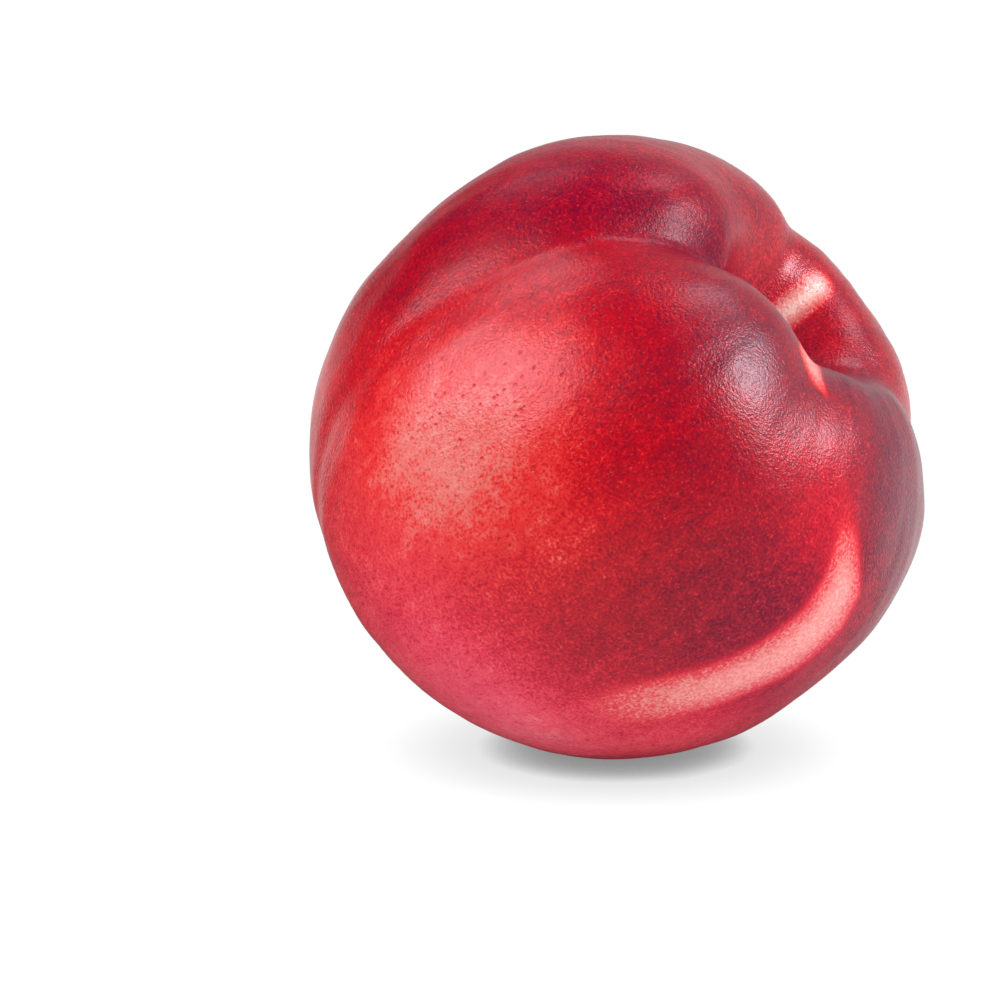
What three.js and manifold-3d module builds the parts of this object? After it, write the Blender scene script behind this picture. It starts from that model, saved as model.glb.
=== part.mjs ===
// A ripe nectarine lying on its side, in millimetres with +Z up.
// It is one solid fruit. Half its outline is turned round the stem axis, and then valleys are sunk into the
// shoulder, so that four lobes stand round the stem cavity. It rests on a small flat spot at the origin.

import * as THREE from "three";
import { mergeVertices } from "three/addons/utils/BufferGeometryUtils.js";
import Module from "manifold-3d";

// Size of the fruit. Heights run along the stem axis, from the widest section.
const girthRadius = 35.6;
const tipHeight = -37;
const shoulderRadius = 15.8;
const shoulderHeight = 29.8;
const floorHeight = 15.4;

// How it lies, in degrees: the stem axis above the surface, its turn from +X, and the suture's turn round it.
const stemLift = 41.5;
const stemTurn = -15;
const sutureRoll = 40.5;
const restDepth = 0.42; // how much of the round underside the flat spot takes away

// The grid of the skin: meridians round the axis, and rings on the body and inside the cavity.
const meridians = 88;
const bodyRings = 52;
const cavityRings = 13;
const rimShare = 0.845; // where the rim of the cavity is, as a share of the outline's length
const mergeDistance = 1e-4;
const flatTolerance = 1e-3; // a point lower than this is on the flat spot
const boxGirths = 4; // side of the box that cuts it, in girth radii

// Half the outline as [radius, height], from the blossom tip round the body and into the stem cavity.
const halfOutline = [
  [0, tipHeight],
  [1.6, tipHeight + 0.7],
  [5, tipHeight + 1.1],
  [14, -33.6],
  [25.2, -26.1],
  [33.3, -14],
  [girthRadius, 0],
  [34.3, 12],
  [29.9, 21.2],
  [23, 27.4],
  [shoulderRadius, shoulderHeight],
  [11, 28],
  [7.6, 23.4],
  [5, 18.4],
  [2.6, floorHeight + 0.5],
  [0, floorHeight],
];

// Valleys between the lobes. Each is sunk deepest along the meridian "at", in degrees from the suture, and
// fades over "left" and "right" degrees of turn. It starts at the height "from" and is full at "to".
const valleys = [
  // the suture: a broad valley at the shoulder, with a crease over the cheek that runs on to the tip
  { at: 2, depth: 3.6, left: 18, right: 24, from: -24, to: 29, power: 1.8 },
  { at: 0, depth: 0.9, left: 7, right: 7, from: -8, to: 20, power: 1 },
  { at: 0, depth: 0.4, left: 7, right: 7, from: -35, to: -12, power: 1 },
  // where the suture leaves the cavity on the other side
  { at: 164, depth: 2.1, left: 17, right: 17, from: 6, to: 29, power: 2 },
  // the edge of the upper lobe, seen against the far one
  { at: -106, depth: 0.9, left: 11, right: 11, from: 16, to: 29.5, power: 2 },
  // the upper lobe and the far one stand a little higher, so their valleys are rises
  { at: -76, depth: -0.9, left: 24, right: 24, from: 8, to: 29, power: 2 },
  { at: -150, depth: -0.15, left: 42, right: 42, from: 8, to: 29, power: 2 },
  // the bed of the twig that lay across the cavity
  { at: 78, depth: 1.5, left: 16, right: 16, from: -2, to: 29, power: 2 },
];
const rimStart = 12; // above this height a valley sinks more and more down the axis,
const rimFull = 28; // and from this height on it sinks straight down
const inwardAtRim = 0.3; // how much of the inward move is left there
const floorFade = 13; // inside this radius the valleys fade out towards the cavity's floor

const { smoothstep, degToRad, radToDeg } = THREE.MathUtils;

function bell(x) {
  return Math.exp(-x * x);
}

// How deep the valleys are at a place on the plain round body.
function valleyDepth(azimuth, height) {
  let depth = 0;
  for (const valley of valleys) {
    const away = THREE.MathUtils.euclideanModulo(azimuth - valley.at + 180, 360) - 180;
    const reach = away < 0 ? valley.left : valley.right;
    depth += valley.depth * bell(away / reach) * smoothstep(height, valley.from, valley.to) ** valley.power;
  }
  return depth;
}

// The half outline's points, closer together inside the cavity than on the body.
function outlinePoints() {
  const corners = halfOutline.map(([radius, height]) => new THREE.Vector2(radius, height));
  const outline = new THREE.SplineCurve(corners);
  const points = [];
  for (let ring = 0; ring <= bodyRings; ring++) {
    points.push(outline.getPointAt((rimShare * ring) / bodyRings));
  }
  for (let ring = 1; ring <= cavityRings; ring++) {
    points.push(outline.getPointAt(rimShare + ((1 - rimShare) * ring) / cavityRings));
  }
  points[0].x = 0;
  points[points.length - 1].x = 0;
  return points;
}

// The lobed body, with its stem axis along +Z and the suture on the +X side.
function fruitBody() {
  const body = new THREE.LatheGeometry(outlinePoints(), meridians).rotateX(Math.PI / 2);
  body.deleteAttribute("normal");
  body.deleteAttribute("uv");
  const place = body.getAttribute("position");
  for (let i = 0; i < place.count; i++) {
    const radius = Math.hypot(place.getX(i), place.getY(i));
    const height = place.getZ(i);
    const azimuth = Math.atan2(place.getY(i), place.getX(i));
    const atRim = smoothstep(height, rimStart, rimFull);
    const depth = valleyDepth(radToDeg(azimuth), height) * smoothstep(radius, 0, floorFade);
    const newRadius = Math.max(radius - depth * (1 - (1 - inwardAtRim) * atRim), 0);
    place.setXYZ(i, newRadius * Math.cos(azimuth), newRadius * Math.sin(azimuth), height - depth * atRim);
  }
  return mergeVertices(body, mergeDistance);
}

// The turn that lays the stem axis down and brings the suture round.
function restingTurn() {
  const lift = degToRad(stemLift);
  const turn = degToRad(stemTurn);
  const stem = new THREE.Vector3(
    Math.cos(lift) * Math.cos(turn),
    Math.cos(lift) * Math.sin(turn),
    Math.sin(lift),
  );
  const suture = new THREE.Vector3(0, 0, 1)
    .projectOnPlane(stem)
    .normalize()
    .applyAxisAngle(stem, degToRad(sutureRoll));
  return new THREE.Matrix4().makeBasis(suture, stem.clone().cross(suture), stem);
}

function toSolid(wasm, geometry) {
  const vertProperties = new Float32Array(geometry.getAttribute("position").array);
  const triVerts = new Uint32Array(geometry.index.array);
  return new wasm.Manifold(new wasm.Mesh({ numProp: 3, vertProperties, triVerts }));
}

function toGeometry(solid) {
  const mesh = solid.getMesh();
  return new THREE.BufferGeometry()
    .setAttribute("position", new THREE.BufferAttribute(mesh.vertProperties, 3))
    .setIndex(new THREE.BufferAttribute(mesh.triVerts, 1));
}

// Cuts the flat spot, with its middle moved to the origin.
function cutRestSpot(wasm, body) {
  body.computeBoundingBox();
  body.translate(0, 0, -body.boundingBox.min.z - restDepth);
  const under = boxGirths * girthRadius;
  const belowSurface = new THREE.BoxGeometry(under, under, under).translate(0, 0, -under / 2);
  belowSurface.deleteAttribute("normal");
  belowSurface.deleteAttribute("uv");
  const tool = toSolid(wasm, mergeVertices(belowSurface, mergeDistance));
  const cut = toGeometry(toSolid(wasm, body).subtract(tool));
  const place = cut.getAttribute("position");
  const spot = new THREE.Box3();
  for (let i = 0; i < place.count; i++) {
    const point = new THREE.Vector3().fromBufferAttribute(place, i);
    if (point.z < flatTolerance) {
      spot.expandByPoint(point);
    }
  }
  const middle = spot.getCenter(new THREE.Vector3());
  return cut.translate(-middle.x, -middle.y, 0);
}

const wasm = await Module();
wasm.setup();

const skin = new THREE.MeshStandardMaterial({ color: 0xb01f30, roughness: 0.36, metalness: 0 });

function nectarine() {
  const body = fruitBody().applyMatrix4(restingTurn());
  const mesh = new THREE.Mesh(cutRestSpot(wasm, body), skin);
  mesh.name = "nectarine";
  return mesh;
}

const group = new THREE.Group();
group.add(nectarine());

export default group;
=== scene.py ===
import math

import bpy
import numpy as np
from mathutils import Matrix, Vector, noise


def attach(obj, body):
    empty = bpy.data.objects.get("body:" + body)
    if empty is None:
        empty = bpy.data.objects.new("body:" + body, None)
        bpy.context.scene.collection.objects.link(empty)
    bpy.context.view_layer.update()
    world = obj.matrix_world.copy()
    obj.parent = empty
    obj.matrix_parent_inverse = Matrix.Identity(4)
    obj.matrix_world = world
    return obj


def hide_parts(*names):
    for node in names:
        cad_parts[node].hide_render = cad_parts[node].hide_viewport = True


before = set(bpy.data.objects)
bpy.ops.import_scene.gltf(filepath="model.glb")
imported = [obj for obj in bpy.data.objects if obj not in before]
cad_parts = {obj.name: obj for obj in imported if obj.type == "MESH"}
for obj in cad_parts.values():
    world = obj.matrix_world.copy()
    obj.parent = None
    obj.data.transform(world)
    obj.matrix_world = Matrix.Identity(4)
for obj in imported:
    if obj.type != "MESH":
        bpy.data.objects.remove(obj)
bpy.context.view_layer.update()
mm = 0.001
print("frame loaded")

# How the fruit lies. The stem axis, the suture and the middle of the axis give the fruit's own frame:
# x towards the suture, y a quarter turn on from it, z up the stem axis.
lie = {
    "stemLift": 41.5,
    "stemTurn": -15,
    "sutureRoll": 40.5,
    "tipDepth": 37 * mm,  # from the middle down to the blossom tip
    "girth": 35.6 * mm,
    "cavityFade": (10 * mm, 14 * mm),  # heights over which the cavity's own relief comes in
    "cavityRim": (16 * mm, 12 * mm),  # and radii
    "tipFade": (-30 * mm, -34 * mm),
}


def readPoints(mesh):
    flat = np.empty(len(mesh.vertices) * 3)
    mesh.vertices.foreach_get("co", flat)
    return flat.reshape(-1, 3)


def readNormals(mesh):
    flat = np.empty(len(mesh.vertices) * 3)
    mesh.vertex_normals.foreach_get("vector", flat)
    return flat.reshape(-1, 3)


def fruitFrame(node):
    lift, turn = math.radians(lie["stemLift"]), math.radians(lie["stemTurn"])
    stem = Vector((math.cos(lift) * math.cos(turn), math.cos(lift) * math.sin(turn), math.sin(lift)))
    plumb = (Vector((0, 0, 1)) - stem * stem.z).normalized()
    suture = Matrix.Rotation(math.radians(lie["sutureRoll"]), 3, stem) @ plumb
    tip = min((v.co for v in node.data.vertices), key=stem.dot)
    return Matrix((suture, stem.cross(suture), stem)), tip + stem * lie["tipDepth"]


toFruit, middle = fruitFrame(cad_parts["nectarine"])


# Smooth helpers, for numbers and for arrays.

def ease(start, end, x):
    t = np.clip((x - start) / (end - start), 0, 1)
    return t * t * (3 - 2 * t)


def bell(x):
    return np.exp(-x * x)


def turnFrom(azimuth, at):
    return (azimuth - at + 180) % 360 - 180


# The body: the CAD fruit's mesh, made into quads, smoothed and then worked over like a sculpt.

body = {
    "mergeAt": 0.002 * mm,
    "quadAngle": 60,
    "levels": 2,
    # the rim by the suture is smoothed, round this turn and this radius
    "smoothed": {
        "at": -14,
        "turns": 22,
        "radius": 13.5 * mm,
        "reach": 4 * mm,
        "heights": (20 * mm, 24 * mm),
        "strength": 0.8,
        "rounds": 160,
    },
    "lumps": {"size": 11 * mm, "height": 0.32 * mm, "seed": 1, "lessInCavity": 0.6},
    "dimples": {"size": 4.2 * mm, "height": 0.07 * mm, "seed": 2},
    "wrinkles": {"across": 1.5 * mm, "along": 4.0 * mm, "height": 0.03 * mm, "seed": 3, "core": 3 * mm},
    "ridges": {"height": 0.10 * mm, "squeeze": [0.5, 0.5, 0.3], "seed": 5},  # twice as wide as the wrinkles
    "crease": {
        "at": 0.5,
        "width": 1.6 * mm,
        "depth": 0.22 * mm,
        "heights": (-36 * mm, -28 * mm),
        "radii": (8 * mm, 12 * mm),
    },
    "scarRing": {"radius": 2.75 * mm, "width": 0.45 * mm, "depth": 0.35 * mm},
    "cavityFolds": {
        "count": 8,
        "depth": 0.11 * mm,
        "from": (3.2 * mm, 5.2 * mm),
        "to": (9.5 * mm, 6 * mm),
        "wander": 6 * mm,
        "sway": 2,
        "seed": 4,
    },
    "scarPit": {"radius": 1.3 * mm, "depth": 0.7 * mm},
    "tipPit": {"radius": 0.9 * mm, "depth": 0.35 * mm},
    "clearOfRest": 1.2 * mm,  # the relief fades out this near to the flat spot
}


def copyOfNode(node, name):
    bpy.ops.object.select_all(action="DESELECT")
    node.select_set(True)
    bpy.context.view_layer.objects.active = node
    bpy.ops.object.duplicate()
    piece = bpy.context.object
    piece.parent = None
    for key in list(piece.keys()):
        del piece[key]
    piece.name = name
    piece.data.name = name
    piece.data.materials.clear()
    return piece


def smoothQuads(piece):
    angle = math.radians(body["quadAngle"])
    bpy.ops.object.mode_set(mode="EDIT")
    bpy.ops.mesh.select_all(action="SELECT")
    bpy.ops.mesh.remove_doubles(threshold=body["mergeAt"])
    bpy.ops.mesh.tris_convert_to_quads(face_threshold=angle, shape_threshold=angle)
    bpy.ops.mesh.normals_make_consistent(inside=False)
    bpy.ops.object.mode_set(mode="OBJECT")
    bpy.ops.object.shade_smooth()
    rounding = piece.modifiers.new("rounding", "SUBSURF")
    rounding.levels = body["levels"]
    rounding.render_levels = body["levels"]
    bpy.ops.object.modifier_apply(modifier="rounding")


seedSteps = (7.3, 3.1, 5.7)  # how far the noise moves on from one seed to the next


def noiseAt(points, size, seed):
    shift = Vector([seed * step for step in seedSteps])
    return np.array([noise.noise(Vector(p) / size + shift) for p in points])


def smoothBrush(mesh, points, weight, rounds):
    # draws each point towards the middle of its neighbours, as a sculptor's smooth brush does
    ends = np.empty(len(mesh.edges) * 2, dtype=np.int64)
    mesh.edges.foreach_get("vertices", ends)
    first, second = ends.reshape(-1, 2).T
    count = np.bincount(first, minlength=len(points)) + np.bincount(second, minlength=len(points))
    for _ in range(rounds):
        total = np.zeros_like(points)
        for axis in range(3):
            total[:, axis] += np.bincount(first, points[second, axis], len(points))
            total[:, axis] += np.bincount(second, points[first, axis], len(points))
        points += (total / count[:, None] - points) * weight[:, None]
    return points


def placeInFruit(points):
    local = (points - np.array(middle)) @ np.array(toFruit).T
    radius = np.hypot(local[:, 0], local[:, 1])
    azimuth = np.degrees(np.arctan2(local[:, 1], local[:, 0]))
    return local, radius, azimuth, local[:, 2]


def smoothRim(mesh, points):
    brush = body["smoothed"]
    local, radius, azimuth, height = placeInFruit(points)
    weight = bell(turnFrom(azimuth, brush["at"]) / brush["turns"])
    weight *= bell((radius - brush["radius"]) / brush["reach"])
    weight *= ease(*brush["heights"], height) * brush["strength"]
    return smoothBrush(mesh, points, weight, brush["rounds"])


def relief(local, radius, azimuth, height):
    # how far each point is pushed out along its normal
    onFloor = ease(*lie["cavityFade"], height)
    inCavity = ease(*lie["cavityRim"], radius) * onFloor
    lumps, dimples = body["lumps"], body["dimples"]
    less = 1 - lumps["lessInCavity"] * inCavity
    push = lumps["height"] * noiseAt(local, lumps["size"], lumps["seed"]) * less
    push += dimples["height"] * noiseAt(local, dimples["size"], dimples["seed"])

    # wrinkles and ridges run along the fruit, so their noise is drawn out that way
    wrinkles, ridges = body["wrinkles"], body["ridges"]
    arc = local.copy()
    arc[:, :2] *= (lie["girth"] / np.maximum(radius, wrinkles["core"]))[:, None]
    arc[:, :2] /= wrinkles["across"]
    arc[:, 2] /= wrinkles["along"]
    towardsStem = np.minimum(radius / lie["girth"], 1)
    ridge = noiseAt(arc * ridges["squeeze"], 1.0, ridges["seed"])
    push += ridges["height"] * ridge * towardsStem * (1 - inCavity)
    push -= wrinkles["height"] * np.abs(noiseAt(arc, 1.0, wrinkles["seed"])) * (1 - inCavity)

    crease = body["crease"]
    across = np.radians(turnFrom(azimuth, crease["at"])) * radius
    along = ease(*crease["heights"], height) * ease(*crease["radii"], radius)
    push -= crease["depth"] * bell(across / crease["width"]) * along

    folds = body["cavityFolds"]
    sway = folds["sway"] * noiseAt(local, folds["wander"], folds["seed"])
    fold = np.cos(np.radians(azimuth) * folds["count"] + sway)
    inFolds = ease(*folds["from"], radius) * ease(*folds["to"], radius)
    push -= folds["depth"] * 0.5 * (1 + fold) * inFolds * onFloor

    ring, scarPit, tipPit = body["scarRing"], body["scarPit"], body["tipPit"]
    push -= ring["depth"] * bell((radius - ring["radius"]) / ring["width"]) * onFloor
    push -= scarPit["depth"] * bell(radius / scarPit["radius"]) * onFloor
    push -= tipPit["depth"] * bell(radius / tipPit["radius"]) * ease(*lie["tipFade"], height)
    return push


def setPoints(mesh, points):
    mesh.vertices.foreach_set("co", points.ravel())
    mesh.update()


def makeBody():
    piece = copyOfNode(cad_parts["nectarine"], "nectarineBody")
    smoothQuads(piece)
    mesh = piece.data
    points = smoothRim(mesh, readPoints(mesh))
    setPoints(mesh, points)
    local, radius, azimuth, height = placeInFruit(points)
    push = relief(local, radius, azimuth, height)
    push *= ease(0.0, body["clearOfRest"], points[:, 2])
    points = points + readNormals(mesh) * push[:, None]
    points[:, 2] = np.maximum(points[:, 2], 0)
    setPoints(mesh, points)
    paint(mesh, radius, azimuth, height)
    return piece


# The colour is one scale of blush, from 0, cream, through coral and red to 1, dark maroon. It starts from an
# even red, and each dab adds to it or takes from it. A dab is placed by its turn from the suture, in degrees,
# and its height up the stem axis, and fades over a reach across and along the fruit, all in millimetres.

blush = {
    "even": 0.62,
    "core": 6 * mm,  # the dabs fade out nearer to the stem axis than this
    "dabs": [
        {"at": 31, "height": -7, "across": 16.5, "along": 18, "add": -0.40},  # the coral cheek
        {"at": 27, "height": 10, "across": 7, "along": 6, "add": -0.08},
        {"at": 46, "height": -19, "across": 12, "along": 12, "add": 0.05},
        {"at": -11, "height": 14, "across": 8, "along": 17, "add": 0.13},  # beside the suture: deeper red, partly painted shade in its valley
        {"at": -4, "height": -12, "across": 4.5, "along": 11, "add": -0.01},
        {"at": -50, "height": 18, "across": 12, "along": 16, "add": 0.08},
        {"at": 22, "height": 20, "across": 7, "along": 6, "add": 0.05},
        {"at": 97, "height": 21, "across": 6, "along": 5, "add": -0.16},  # above the mark, where it has faded
        {"at": 42, "height": 19, "across": 9, "along": 7, "add": 0.06},
        {"at": 88, "height": 7, "across": 11, "along": 9, "add": 0.12},  # the dark red under the lobe, partly painted shade under it
        {"at": 58, "height": 3, "across": 9, "along": 8, "add": -0.05},
        {"at": 125, "height": -11, "across": 12, "along": 9, "add": -0.08},
        {"at": 50, "height": 27.5, "across": 11, "along": 4.0, "add": 0.20},  # the lip of the cavity: darker red, partly painted shade where it turns into the hollow
        {"at": 130, "height": 23, "across": 11, "along": 12, "add": 0.24},  # the lobe beyond the mark
        {"at": 119, "height": -19, "across": 9, "along": 6, "add": 0.12},
        {"at": 108, "height": 25, "across": 6, "along": 6, "add": 0.15},
        {"at": -14, "height": 24, "across": 7, "along": 6, "add": 0.06},
        {"at": 50, "height": 13, "across": 9, "along": 9, "add": 0.04},
        # lighter on the ridge beside the suture: painted sheen
        {"at": 1, "height": 9, "across": 4, "along": 7, "add": -0.08},
        # paler towards the bottom: partly painted light from the floor below
        {"at": 108, "height": -13, "across": 11, "along": 9, "add": -0.16},
        {"at": 92, "height": -23, "across": 20, "along": 8, "add": -0.26},
        {"at": -125, "height": -14, "across": 16, "along": 17, "add": -0.26},  # a paler cheek on the far side
        {"at": 180, "height": 5, "across": 20, "along": 18, "add": 0.12},
        {"at": -70, "height": 12, "across": 14, "along": 14, "add": 0.10},
    ],
    "tip": {"reach": 9, "add": -0.14},
    "cavity": {"reach": 11, "add": -0.34, "heights": (12 * mm, 15 * mm), "radii": (14 * mm, 9 * mm)},
    "dull": [  # where the skin is less glossy: beside the suture, and in the deep red
        {"at": -13, "height": 12, "across": 6.5, "along": 22, "add": 0.9},
        {"at": 31, "height": 20, "across": 9, "along": 6, "add": 0.35},
        {"at": 95, "height": 20, "across": 8, "along": 6, "add": 0.5},
        {"at": 52, "height": 12, "across": 14, "along": 9, "add": 0.4},
    ],
    "roseAndSheen": [  # where the red is pinker; on the bottom and the right side this pink is partly painted sheen
        {"at": 76, "height": -24, "across": 21, "along": 11, "add": 0.9},
        {"at": 118, "height": 0, "across": 20, "along": 24, "add": 0.7},
        {"at": -45, "height": 12, "across": 16, "along": 20, "add": 0.35},
    ],
}

# The pale mark where a twig lay against the fruit. It runs down from the lip of the cavity, and its bar lies
# on the cavity's other wall. Each row is a height, a turn, half a width, and how pale the skin is there.
twigMark = {
    "heights": [-18, -11, -6, -1, 3, 7, 11, 15.5, 18.5, 22, 27.5, 28.2, 28.9, 30.2],
    "turns": [89, 92, 96, 101.5, 105, 107, 108.5, 107.5, 104, 99.5, 81, 76, 71, 62],
    "halfWidths": [6.2, 6.2, 6.0, 5.9, 5.9, 5.8, 5.5, 4.7, 3.6, 2.8, 2.2, 1.8, 1.9, 1.6],
    "pale": [0, 0.36, 0.66, 0.78, 0.82, 0.86, 0.88, 0.86, 0.52, 0.10, 0.02, 0.80, 1.25, 0.0],
    "edge": (1.15, 0.12),  # where it fades in, as shares of half its width
    "outside": (11 * mm, 13 * mm),  # it ends at this radius, on the lip
}
cavityBar = {"at": -131, "from": 6.5, "to": 10.9, "halfWidth": 2.1, "pale": 1.3, "edge": (1.3, 0.0)}

# The corky scar, as radii and heights where it fades in. Its value goes on rising inside its edge, where the
# cork gets darker.
scarMark = {
    "heights": (10 * mm, 13 * mm),
    "edge": (4.4 * mm, 2.4 * mm),
    "middle": (2.2 * mm, 0.4 * mm),
    "tipEdge": (1.3 * mm, 0.5 * mm),
}


def dabbed(dabs, radius, azimuth, height):
    total = np.zeros(len(radius))
    for dab in dabs:
        across = np.radians(turnFrom(azimuth, dab["at"])) * radius / (dab["across"] * mm)
        along = (height - dab["height"] * mm) / (dab["along"] * mm)
        total += dab["add"] * bell(np.hypot(across, along)) * ease(0, blush["core"], radius)
    return total


def paint(mesh, radius, azimuth, height):
    redness = blush["even"] + dabbed(blush["dabs"], radius, azimuth, height)
    roseAndSheen = dabbed(blush["roseAndSheen"], radius, azimuth, height)
    dull = dabbed(blush["dull"], radius, azimuth, height)
    atTip = bell((height + lie["tipDepth"]) / (blush["tip"]["reach"] * mm))
    redness += blush["tip"]["add"] * atTip
    cavity = blush["cavity"]
    inside = ease(*cavity["heights"], height) * ease(*cavity["radii"], radius)
    redness += cavity["add"] * bell(radius / (cavity["reach"] * mm)) * inside

    at = np.interp(height / mm, twigMark["heights"], twigMark["turns"])
    half = np.interp(height / mm, twigMark["heights"], twigMark["halfWidths"]) * mm
    pale = np.interp(height / mm, twigMark["heights"], twigMark["pale"])
    away = np.abs(np.radians(turnFrom(azimuth, at)) * radius)
    mark = pale * ease(*twigMark["edge"], away / half) * ease(*twigMark["outside"], radius)

    away = np.abs(np.radians(turnFrom(azimuth, cavityBar["at"])) * radius)
    past = np.maximum(np.maximum(radius - cavityBar["to"] * mm, cavityBar["from"] * mm - radius), 0)
    away = np.hypot(away, past) / (cavityBar["halfWidth"] * mm)
    wall = cavityBar["pale"] * ease(*cavityBar["edge"], away)
    mark = np.maximum(mark, wall * ease(*blush["cavity"]["heights"], height))

    cork = ease(*scarMark["edge"], radius) + ease(*scarMark["middle"], radius)
    scar = cork * ease(*scarMark["heights"], height)
    scar = np.maximum(scar, ease(*scarMark["tipEdge"], radius) * ease(*lie["tipFade"], height))
    painted = {"blush": redness, "roseAndSheen": roseAndSheen, "dull": dull, "mark": mark, "scar": scar}
    for name, values in painted.items():
        layer = mesh.attributes.new(name, "FLOAT", "POINT")
        layer.data.foreach_set("value", values.astype(np.float32))


# Shader helpers.

def srgb(red, green, blue):
    steps = [c / 255 for c in (red, green, blue)]
    return [c / 12.92 if c <= 0.04045 else ((c + 0.055) / 1.055) ** 2.4 for c in steps] + [1.0]


class Nodes:
    # Adds nodes to a tree and joins them, so that a material reads from its coordinates to its output.
    def __init__(self, tree):
        self.tree = tree

    def add(self, kind, inputs=None, **settings):
        node = self.tree.nodes.new("ShaderNode" + kind)
        for key, value in settings.items():
            setattr(node, key, value)
        for key, value in (inputs or {}).items():
            if isinstance(value, bpy.types.NodeSocket):
                self.tree.links.new(value, node.inputs[key])
            else:
                node.inputs[key].default_value = value
        return node

    def math(self, operation, first, second=0.0, clamp=False):
        return self.add("Math", {0: first, 1: second}, operation=operation, use_clamp=clamp).outputs[0]

    def plus(self, first, second):
        return self.math("ADD", first, second)

    def minus(self, first, second):
        return self.math("SUBTRACT", first, second)

    def times(self, first, second):
        return self.math("MULTIPLY", first, second)

    def remap(self, value, low, high, toLow=0.0, toHigh=1.0):
        inputs = {"Value": value, "From Min": low, "From Max": high, "To Min": toLow, "To Max": toHigh}
        return self.add("MapRange", inputs, interpolation_type="SMOOTHSTEP").outputs["Result"]

    def noise(self, vector, scale, detail, roughness):
        inputs = {"Vector": vector, "Scale": scale, "Detail": detail, "Roughness": roughness}
        return self.add("TexNoise", inputs).outputs["Fac"]

    def centredNoise(self, vector, scale, detail, strength, roughness=0.55):
        return self.times(self.minus(self.noise(vector, scale, detail, roughness), 0.5), strength)

    def attribute(self, name):
        return self.add("Attribute", attribute_name=name).outputs["Fac"]

    def vector(self, x, y, z):
        return self.add("CombineXYZ", {"X": x, "Y": y, "Z": z}).outputs["Vector"]

    def mix(self, factor, first, second, kind="RGBA"):
        inputs = {"Factor": factor, "A": first, "B": second}
        return self.add("Mix", inputs, data_type=kind).outputs["Result"]

    def dot(self, first, second):
        inputs = {0: first, 1: second}
        return self.add("VectorMath", inputs, operation="DOT_PRODUCT").outputs["Value"]

    def ramp(self, factor, stops):
        made = self.add("ValToRGB", {"Fac": factor})
        elements = made.color_ramp.elements
        while len(elements) < len(stops):
            elements.new(0.5)
        for element, (place, color) in zip(elements, stops):
            element.position = place
            element.color = srgb(*color)
        return made.outputs["Color"]


skin = {
    # the colours of the scale of blush, and the same where the red is pinker, which is partly painted sheen
    "stops": [
        (0.00, (255, 214, 192)),
        (0.10, (248, 164, 148)),
        (0.22, (222, 128, 116)),
        (0.35, (222, 44, 40)),
        (0.47, (198, 4, 24)),
        (0.64, (158, 2, 26)),
        (0.82, (120, 3, 36)),
        (1.00, (84, 8, 40)),
    ],
    "roseAndSheenStops": [
        (0.00, (255, 214, 204)),
        (0.12, (246, 158, 158)),
        (0.32, (226, 76, 98)),
        (0.52, (206, 26, 66)),
        (0.82, (112, 10, 52)),
    ],
    "corkStops": [
        (0.20, (58, 34, 22)),
        (0.55, (122, 82, 48)),
        (0.85, (178, 136, 88)),
    ],
    # patterns in the tone: how fine each one is, its detail and its strength
    "clouds": (110, 2, 0.17),
    "streaks": (360, 2, 0.17),
    "mottle": (700, 2, 0.24),
    "grain": (2900, 2, 1.1),
    "streakLength": 0.16,  # the smaller, the longer
    "core": 2 * mm,  # the streaks narrow towards the stem axis, down to this radius
    # from one blush to another: how strong the patches are, and how far the grain goes to the pale side
    "calm": (0.15, 0.55, 0.45, 1.0),
    "palestGrain": (0.36, 0.62, -0.03, -0.50),
    "grainInTone": 0.62,
    # what is left of the grain and of the dots in the mark, and where the mark begins and is full for them
    "grainInMark": 0.55,
    "dotsInMark": 0.2,
    "markFull": (0.1, 0.8),
    "markFrom": 0.002,
    "markEdge": 0.30,
    "markWander": (0.5, 0.2),  # how far the mottling and the grain move its edge
    "markTone": 0.44,
    "markPaler": 0.33,
    "markMottle": 0.35,
    # dots: how far apart, how large, both in millimetres, and the share of them that is kept
    "pores": (0.62, 0.14, 0.55),
    "redDots": (0.52, 0.17, 0.8),
    "pits": (0.9, 0.24, 0.6),
    "pitLength": 0.85,
    # how much darker the pits are: painted shade in the dents
    "pitShade": 0.12,
    "pitPatches": (130, 1, 1.0),
    "pitPatchEdge": (-0.18, 0.04),
    "pitBlush": (0.68, 0.40),  # none from the first blush on, all of them up to the second
    "poreColor": (214, 120, 104),
    "poreTint": 0.16,
    # pale speckles in the red: partly a dusty bloom, partly painted glints of the fine relief
    "bloomAndGlintColor": (205, 120, 128),
    "bloomAndGlintTint": 0.30,
    "bloomAndGlintBlush": (0.40, 0.60),
    "bloomAndGlintGrain": (-0.15, -0.36),
    "dotColor": (150, 24, 34),
    "dotTint": 0.60,
    "redFrom": (0.40, 0.62),
    "coralFrom": (0.45, 0.25),
    "corkTone": 0.62,
    "corkPattern": (900, 3, 1.3),
    "corkEdge": (700, 3, 1.1),
    "corkMiddle": 0.45,  # how much darker it gets there
    "corkWorn": (0.35, 0.8),
    "corkRoughness": 0.3,
    "corkRelief": 3.0,
    "gloss": 0.24,
    "roughness": 0.30,
    "roughnessMottle": 0.2,
    "coat": 0.48,
    "coatRoughness": 0.31,
    # relief: a coarse and a fine noise, each with its share, and the pits
    "coarseRelief": (2500, 0.62),
    "fineRelief": (4600, 0.45),
    "reliefNoise": (1, 0.6),  # detail and roughness
    "pitRelief": 1.0,
    "reliefDepth": 0.12 * mm,
    "coatRelief": 0.48,
}


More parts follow.
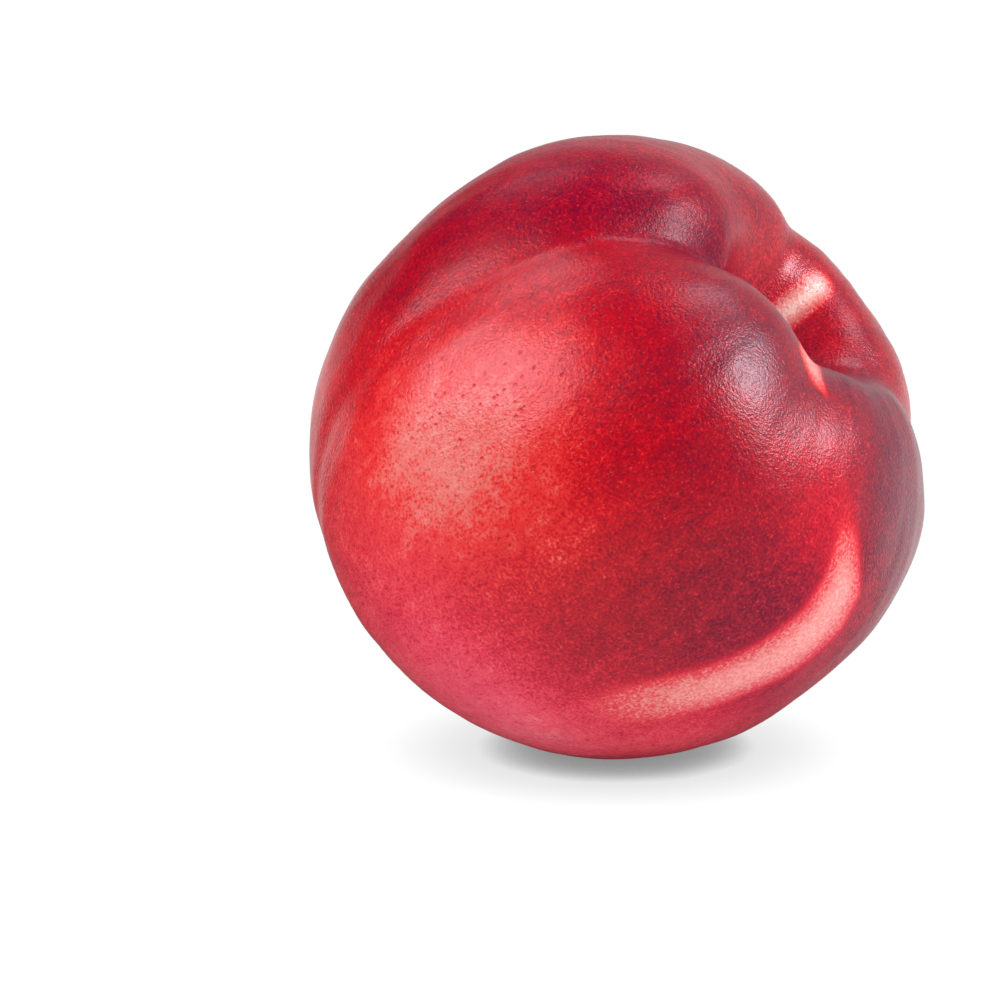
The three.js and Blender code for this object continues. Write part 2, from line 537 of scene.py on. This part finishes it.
def dotsGroup():
    # Round dots scattered over the skin, for the pale pores in the red and the red ones in the coral.
    group = bpy.data.node_groups.new("skinDots", "ShaderNodeTree")
    for name, kind in (("Vector", "Vector"), ("Spacing", "Float"), ("Size", "Float"), ("Share", "Float")):
        group.interface.new_socket(name, in_out="INPUT", socket_type="NodeSocket" + kind)
    group.interface.new_socket("Mask", in_out="OUTPUT", socket_type="NodeSocketFloat")
    made = Nodes(group)
    given = group.nodes.new("NodeGroupInput").outputs
    scale = made.math("DIVIDE", 1000.0, given["Spacing"])
    cells = made.add("TexVoronoi", {"Vector": given["Vector"], "Scale": scale, "Randomness": 1.0})
    reach = made.math("DIVIDE", given["Size"], given["Spacing"])
    dot = made.math("SUBTRACT", 1.0, made.math("DIVIDE", cells.outputs["Distance"], reach), clamp=True)
    pick = made.add("SeparateColor", {"Color": cells.outputs["Color"]}).outputs["Red"]
    kept = made.math("LESS_THAN", pick, given["Share"])
    out = group.nodes.new("NodeGroupOutput")
    group.links.new(made.times(made.math("SQRT", dot), kept), out.inputs["Mask"])
    return group


def skinMaterial():
    material = bpy.data.materials.new("nectarineSkin")
    material.use_nodes = True
    material.node_tree.nodes.clear()
    made = Nodes(material.node_tree)
    blushAt = made.attribute("blush")
    roseAndSheenAt = made.attribute("roseAndSheen")
    dullAt = made.attribute("dull")
    markAt = made.attribute("mark")
    scarAt = made.attribute("scar")

    # the place in the fruit's own frame, and twice more drawn out along the fruit, for streaks and for pits
    place = made.add("TexCoord").outputs["Object"]
    intoFruit = {"Vector": place, "Location": -(toFruit @ middle), "Rotation": toFruit.to_euler("XYZ")}
    turned = made.add("Mapping", intoFruit).outputs["Vector"]
    x, y, z = made.add("SeparateXYZ", {"Vector": turned}).outputs
    radius = made.math("SQRT", made.plus(made.times(x, x), made.times(y, y)))
    widen = made.math("DIVIDE", lie["girth"], made.math("MAXIMUM", radius, skin["core"]))
    streak = made.vector(made.times(x, widen), made.times(y, widen), made.times(z, skin["streakLength"]))
    grown = made.vector(made.times(x, widen), made.times(y, widen), made.times(z, skin["pitLength"]))

    # cloudy patches, streaks along the fruit, mottling and fine grain
    clouds = made.centredNoise(turned, *skin["clouds"])
    streaks = made.centredNoise(streak, *skin["streaks"])
    mottle = made.centredNoise(turned, *skin["mottle"])
    grain = made.centredNoise(turned, *skin["grain"])
    patches = made.plus(made.plus(clouds, streaks), mottle)
    calm = made.remap(blushAt, *skin["calm"])  # the paler the skin, the evener it is
    tone = made.plus(blushAt, made.times(patches, calm))

    # the mark's edge wanders a little, and its colour is mottled less than the rest
    byMottle, byGrain = skin["markWander"]
    edge = made.plus(markAt, made.times(mottle, byMottle))
    edge = made.plus(edge, made.times(grain, byGrain))
    inMark = made.remap(edge, 0.0, skin["markEdge"])
    inMark = made.times(inMark, made.math("GREATER_THAN", markAt, skin["markFrom"]))
    paleTone = made.minus(skin["markTone"], made.times(markAt, skin["markPaler"]))
    paleTone = made.plus(paleTone, made.times(mottle, skin["markMottle"]))
    tone = made.mix(inMark, tone, paleTone, "FLOAT")

    # the grain's speckles, weaker in the mark: in the coral they only darken, in the red they go both ways
    palest = made.remap(blushAt, *skin["palestGrain"])
    speckle = made.times(made.math("MAXIMUM", grain, palest), made.times(calm, skin["grainInTone"]))
    speckle = made.times(speckle, made.remap(markAt, *skin["markFull"], 1.0, skin["grainInMark"]))
    tone = made.plus(tone, speckle)

    dots = dotsGroup()

    def dotMask(kind, vector):
        spacing, size, share = skin[kind]
        inputs = {"Vector": vector, "Spacing": spacing, "Size": size, "Share": share}
        return made.add("Group", inputs, node_tree=dots).outputs["Mask"]

    # dark pits, in patches, and fewer of them in the red; their darker colour is painted shade in the dents
    scarce = made.remap(made.centredNoise(turned, *skin["pitPatches"]), *skin["pitPatchEdge"])
    scarce = made.times(scarce, made.remap(blushAt, *skin["pitBlush"]))
    pits = made.times(dotMask("pits", grown), scarce)
    tone = made.plus(tone, made.times(pits, skin["pitShade"]))
    # pinker red where roseAndSheen is set, partly painted sheen on the bottom and the right side
    color = made.mix(roseAndSheenAt, made.ramp(tone, skin["stops"]), made.ramp(tone, skin["roseAndSheenStops"]))

    # tan pores, and pale speckles in the red that are partly a dusty bloom and partly painted glints of the
    # fine relief, dark red dots in the coral
    inRed = made.remap(tone, *skin["redFrom"])
    inCoral = made.remap(tone, *skin["coralFrom"])
    tan = made.times(made.times(dotMask("pores", turned), inRed), skin["poreTint"])
    bloomAndGlintShare = made.times(made.remap(blushAt, *skin["bloomAndGlintBlush"]), skin["bloomAndGlintTint"])
    bloomAndGlints = made.times(made.remap(grain, *skin["bloomAndGlintGrain"]), bloomAndGlintShare)
    dotted = made.times(made.times(dotMask("redDots", turned), inCoral), skin["dotTint"])
    dotted = made.times(dotted, made.remap(markAt, *skin["markFull"], 1.0, skin["dotsInMark"]))
    for factor, over in ((tan, "poreColor"), (bloomAndGlints, "bloomAndGlintColor"), (dotted, "dotColor")):
        color = made.mix(factor, color, srgb(*skin[over]))

    # corky brown at the stem scar and at the blossom tip
    corkTone = made.plus(skin["corkTone"], made.centredNoise(turned, *skin["corkPattern"]))
    corkTone = made.minus(corkTone, made.times(made.remap(scarAt, 1.0, 2.0), skin["corkMiddle"]))
    worn = made.plus(scarAt, made.centredNoise(turned, *skin["corkEdge"]))
    worn = made.remap(worn, *skin["corkWorn"])
    color = made.mix(worn, color, made.ramp(corkTone, skin["corkStops"]))

    rough = made.plus(skin["roughness"], made.times(mottle, skin["roughnessMottle"]))
    rough = made.plus(rough, made.times(worn, skin["corkRoughness"]))
    shiny = made.minus(1, made.math("MAXIMUM", dullAt, worn))

    coarseScale, coarseShare = skin["coarseRelief"]
    fineScale, fineShare = skin["fineRelief"]
    coarse = made.times(made.noise(turned, coarseScale, *skin["reliefNoise"]), coarseShare)
    fine = made.times(made.noise(turned, fineScale, *skin["reliefNoise"]), fineShare)
    height = made.minus(made.plus(coarse, fine), made.times(pits, skin["pitRelief"]))
    height = made.plus(height, made.times(corkTone, made.times(worn, skin["corkRelief"])))
    depth = {"Height": height, "Distance": skin["reliefDepth"]}
    bump = made.add("Bump", {**depth, "Strength": 1.0}).outputs["Normal"]
    coatBump = made.add("Bump", {**depth, "Strength": skin["coatRelief"]}).outputs["Normal"]

    shader = made.add("BsdfPrincipled", {
        "Base Color": color,
        "Roughness": rough,
        "Specular IOR Level": made.times(shiny, skin["gloss"]),
        "Normal": bump,
        "Coat Weight": made.times(shiny, skin["coat"]),
        "Coat Roughness": skin["coatRoughness"],
        "Coat Normal": coatBump,
    })
    made.add("OutputMaterial", {"Surface": shader.outputs["BSDF"]})
    return material


# The studio: a pale floor that glows a little, white behind and to the right, darker in front and overhead,
# two softboxes that make the highlights, and a fill light that only lights.

studio = {
    "floorRadius": 3.0,
    "floorSides": 96,
    "floorGlow": 1.02,
    "floorLight": 1.4,  # what lights the fruit
    "floorMirrored": (0.11, 0.94),  # what the skin mirrors of it, in front of the fruit and beyond it
    "mirrorTowards": (0.6, 0.8, 0),
    "mirrorFrom": 0.0,
    "mirrorFull": 90 * mm,
    # for all but the camera the floor is dark in front, and its glow comes in towards the fruit
    "frontFrom": -320 * mm,
    "frontFull": -40 * mm,
    # the shadow round the fruit: how far each shade reaches, and how dark it gets
    "shades": [(3.4 * mm, 0.64), (10 * mm, 0.28)],
    "shadeSamples": 4,
    "lightColor": (0.98, 0.90, 1.0),
    "worldColor": (1, 1, 1, 1),
    "dark": 0.02,
    "whiteLight": 0.4,  # the share of it that lights the fruit, next to what the skin mirrors
    "whites": [  # behind to the right, and behind to the left
        {"towards": (0.58, 0.80, -0.15), "from": 0.34, "full": 0.92, "glow": 0.62},
        {"towards": (-0.46, 0.87, -0.18), "from": 0.92, "full": 0.995, "glow": 0.8},
    ],
    "lights": [
        {
            "name": "rightSoftbox",
            "towards": (0.84, -0.24, 0.48),
            "away": 0.75,
            "size": (0.30, 0.28),
            "power": 5.6,
            "mirrored": True,
        },
        {
            "name": "leftSoftbox",
            "towards": (-0.71, -0.38, 0.59),
            "away": 0.9,
            "size": (0.74, 0.56),
            "power": 8.6,
            "mirrored": True,
        },
        {
            "name": "topLeftSoftbox",
            "towards": (-0.36, 0.36, 0.86),
            "away": 0.9,
            "size": (0.42, 0.34),
            "power": 1.4,
            "mirrored": True,
        },
        {
            "name": "topSoftbox",
            "towards": (0.42, 0.22, 0.88),
            "away": 0.9,
            "size": (0.30, 0.30),
            "power": 1.8,
            "mirrored": True,
        },
        {
            "name": "frontFill",
            "towards": (-0.15, -0.80, 0.58),
            "away": 1.2,
            "size": (0.9, 0.9),
            "power": 2.3,
            "mirrored": False,
        },
    ],
}


def makeFloor():
    bpy.ops.object.select_all(action="DESELECT")
    sides, radius = studio["floorSides"], studio["floorRadius"]
    bpy.ops.mesh.primitive_circle_add(vertices=sides, radius=radius, fill_type="NGON")
    floor = bpy.context.object
    floor.name = "floor"
    material = bpy.data.materials.new("paleFloor")
    material.use_nodes = True
    material.node_tree.nodes.clear()
    made = Nodes(material.node_tree)
    ray = made.add("LightPath").outputs
    place = made.add("TexCoord").outputs["Object"]
    along = made.dot(place, studio["mirrorTowards"])
    front, beyond = studio["floorMirrored"]
    mirrored = made.remap(along, studio["mirrorFrom"], studio["mirrorFull"], front, beyond)
    glow = made.remap(ray["Is Glossy Ray"], 0, 1, studio["floorLight"], mirrored)
    glow = made.times(glow, made.remap(along, studio["frontFrom"], studio["frontFull"]))
    glow = made.remap(ray["Is Camera Ray"], 0, 1, glow, studio["floorGlow"])
    for reach, shade in studio["shades"]:
        free = made.add("AmbientOcclusion", {"Distance": reach}, samples=studio["shadeSamples"]).outputs["AO"]
        glow = made.times(glow, made.remap(free, 0, 1, 1 - shade, 1))
    shader = made.add("Emission", {"Color": (1, 1, 1, 1), "Strength": glow})
    made.add("OutputMaterial", {"Surface": shader.outputs["Emission"]})
    floor.data.materials.append(material)


def makeWorld():
    world = bpy.data.worlds.new("studio")
    world.use_nodes = True
    world.node_tree.nodes.clear()
    made = Nodes(world.node_tree)
    direction = made.add("TexCoord").outputs["Generated"]
    ray = made.add("LightPath").outputs
    mirrored = made.remap(ray["Is Glossy Ray"], 0, 1, studio["whiteLight"], 1)
    strength = ray["Is Camera Ray"]
    for white in studio["whites"]:
        facing = made.dot(direction, Vector(white["towards"]).normalized())
        glow = made.remap(facing, white["from"], white["full"], studio["dark"], white["glow"])
        strength = made.math("MAXIMUM", strength, made.times(glow, mirrored))
    background = made.add("Background", {"Color": studio["worldColor"], "Strength": strength})
    made.add("OutputWorld", {"Surface": background.outputs["Background"]})
    bpy.context.scene.world = world


def makeLights():
    for box in studio["lights"]:
        towards = Vector(box["towards"]).normalized()
        bpy.ops.object.light_add(type="AREA", location=middle + towards * box["away"])
        light = bpy.context.object
        light.name = box["name"]
        light.rotation_mode = "QUATERNION"
        light.rotation_quaternion = towards.to_track_quat("Z", "Y")
        light.data.shape = "RECTANGLE"
        light.data.size, light.data.size_y = box["size"]
        light.data.energy = box["power"]
        light.data.color = studio["lightColor"]
        light.visible_camera = False
        light.visible_glossy = box["mirrored"]
    bpy.context.scene.view_settings.view_transform = "Standard"


# The photograph's camera: far off, a little above the fruit, with the fruit right of the middle and above it.
camera = {
    "elevation": 12,
    "distance": 600 * mm,
    "pixelsPerMetre": 8550,  # at the fruit's middle, in a picture 1000 pixels wide
    "middleAt": (620, 450),
    "picture": 1000,
    "sensor": 36,
}


def makeCamera():
    lift = math.radians(camera["elevation"])
    back = Vector((0, -math.cos(lift), math.sin(lift)))
    up = Vector((0, math.sin(lift), math.cos(lift)))
    half = camera["picture"] / 2
    right = (camera["middleAt"][0] - half) / camera["pixelsPerMetre"]
    above = (half - camera["middleAt"][1]) / camera["pixelsPerMetre"]
    place = middle + back * camera["distance"] - Vector((right, 0, 0)) - up * above
    bpy.ops.object.camera_add(location=place)
    made = bpy.context.object
    made.rotation_mode = "QUATERNION"
    made.rotation_quaternion = back.to_track_quat("Z", "Y")
    made.data.sensor_width = camera["sensor"]
    focalPixels = camera["pixelsPerMetre"] * camera["distance"]
    made.data.lens = camera["sensor"] * focalPixels / camera["picture"]
    bpy.context.scene.camera = made


makeCamera()
makeFloor()
makeWorld()
makeLights()
print("studio made")

fruit = makeBody()
fruit.data.materials.append(skinMaterial())
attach(fruit, "root")
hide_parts("nectarine")
print("body made:", len(fruit.data.polygons), "faces")
